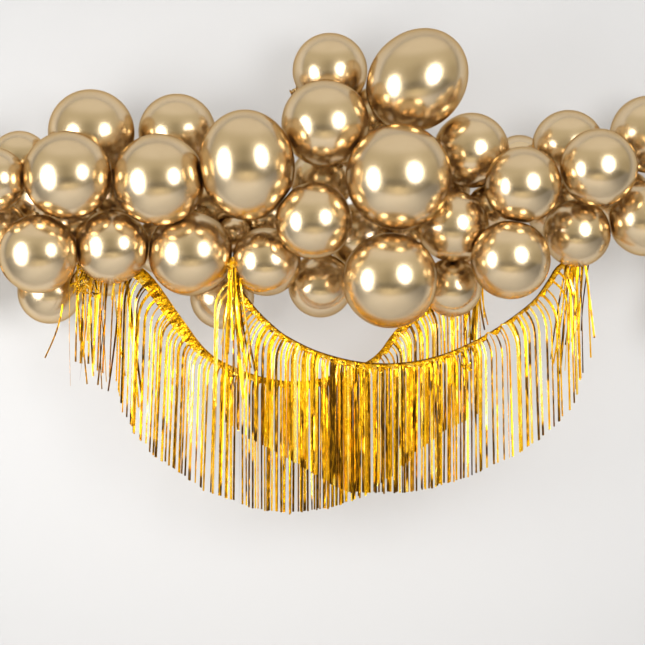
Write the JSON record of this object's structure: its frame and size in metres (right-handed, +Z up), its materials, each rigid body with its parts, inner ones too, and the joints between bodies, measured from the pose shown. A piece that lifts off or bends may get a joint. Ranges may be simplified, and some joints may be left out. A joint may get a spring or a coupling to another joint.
{
  "type": "balloon garland",
  "caption": "Hanging garland of tightly packed champagne-gold chrome balloons with two draped swags of gold foil strip fringe.",
  "frame": {"origin": "centre of the left hanging tab, on its flat back face in the plane of the wall", "axes": "+X along the garland to the right seen from the front, +Y into the wall, +Z up"},
  "size_m": [2.062, 0.4737, 1.1585],
  "materials": {
    "chrome_latex": "mirror-like champagne gold latex, softly blurred reflections, slightly darker and more drawn at the neck",
    "gold_foil": "metallised film, deep yellow gold, crinkled, sharp glints",
    "clear_strip": "clear flexible plastic, glossy"
  },
  "bodies": {
    "root": {"balloon_back_01": "chrome_latex", "balloon_back_02": "chrome_latex", "balloon_back_03": "chrome_latex", "balloon_back_04": "chrome_latex", "balloon_back_05": "chrome_latex", "balloon_back_06": "chrome_latex", "balloon_back_07": "chrome_latex", "balloon_back_08": "chrome_latex", "balloon_back_09": "chrome_latex", "balloon_back_10": "chrome_latex", "balloon_back_11": "chrome_latex", "balloon_back_12": "chrome_latex", "balloon_back_13": "chrome_latex", "balloon_back_14": "chrome_latex", "balloon_back_15": "chrome_latex", "balloon_back_16": "chrome_latex", "balloon_close_left_a": "chrome_latex", "balloon_close_left_b": "chrome_latex", "balloon_close_left_c": "chrome_latex", "balloon_close_right_a": "chrome_latex", "balloon_close_right_b": "chrome_latex", "balloon_close_right_c": "chrome_latex", "balloon_small_top_right": "chrome_latex", "balloon_small_low_left": "chrome_latex", "balloon_pale_low_left": "chrome_latex", "balloon_low_left": "chrome_latex", "balloon_end_low_left": "chrome_latex", "balloon_dark_middle": "chrome_latex", "balloon_end_small_left": "chrome_latex", "balloon_top_middle": "chrome_latex", "balloon_upper_left_a": "chrome_latex", "balloon_upper_left_b": "chrome_latex", "balloon_upper_right_a": "chrome_latex", "balloon_upper_right_b": "chrome_latex", "balloon_end_upper_right": "chrome_latex", "balloon_end_mid_left": "chrome_latex", "balloon_low_middle_a": "chrome_latex", "balloon_low_right_small": "chrome_latex", "balloon_low_right_b": "chrome_latex", "balloon_end_low_right": "chrome_latex", "balloon_lower_left_a": "chrome_latex", "balloon_lower_left_b": "chrome_latex", "balloon_lower_middle": "chrome_latex", "balloon_mid_right": "chrome_latex", "balloon_lower_right_a": "chrome_latex", "balloon_crown_top": "chrome_latex", "balloon_front_low_left": "chrome_latex", "balloon_front_left_a": "chrome_latex", "balloon_front_left_b": "chrome_latex", "balloon_front_right_a": "chrome_latex", "balloon_front_right_b": "chrome_latex", "balloon_front_oval": "chrome_latex", "balloon_front_middle_a": "chrome_latex", "balloon_front_middle_b": "chrome_latex", "balloon_front_low_middle": "chrome_latex", "balloon_front_big": "chrome_latex", "carrying_strip": "clear_strip", "fringe_rear": "gold_foil", "fringe_front": "gold_foil"}
  },
  "joints": []
}
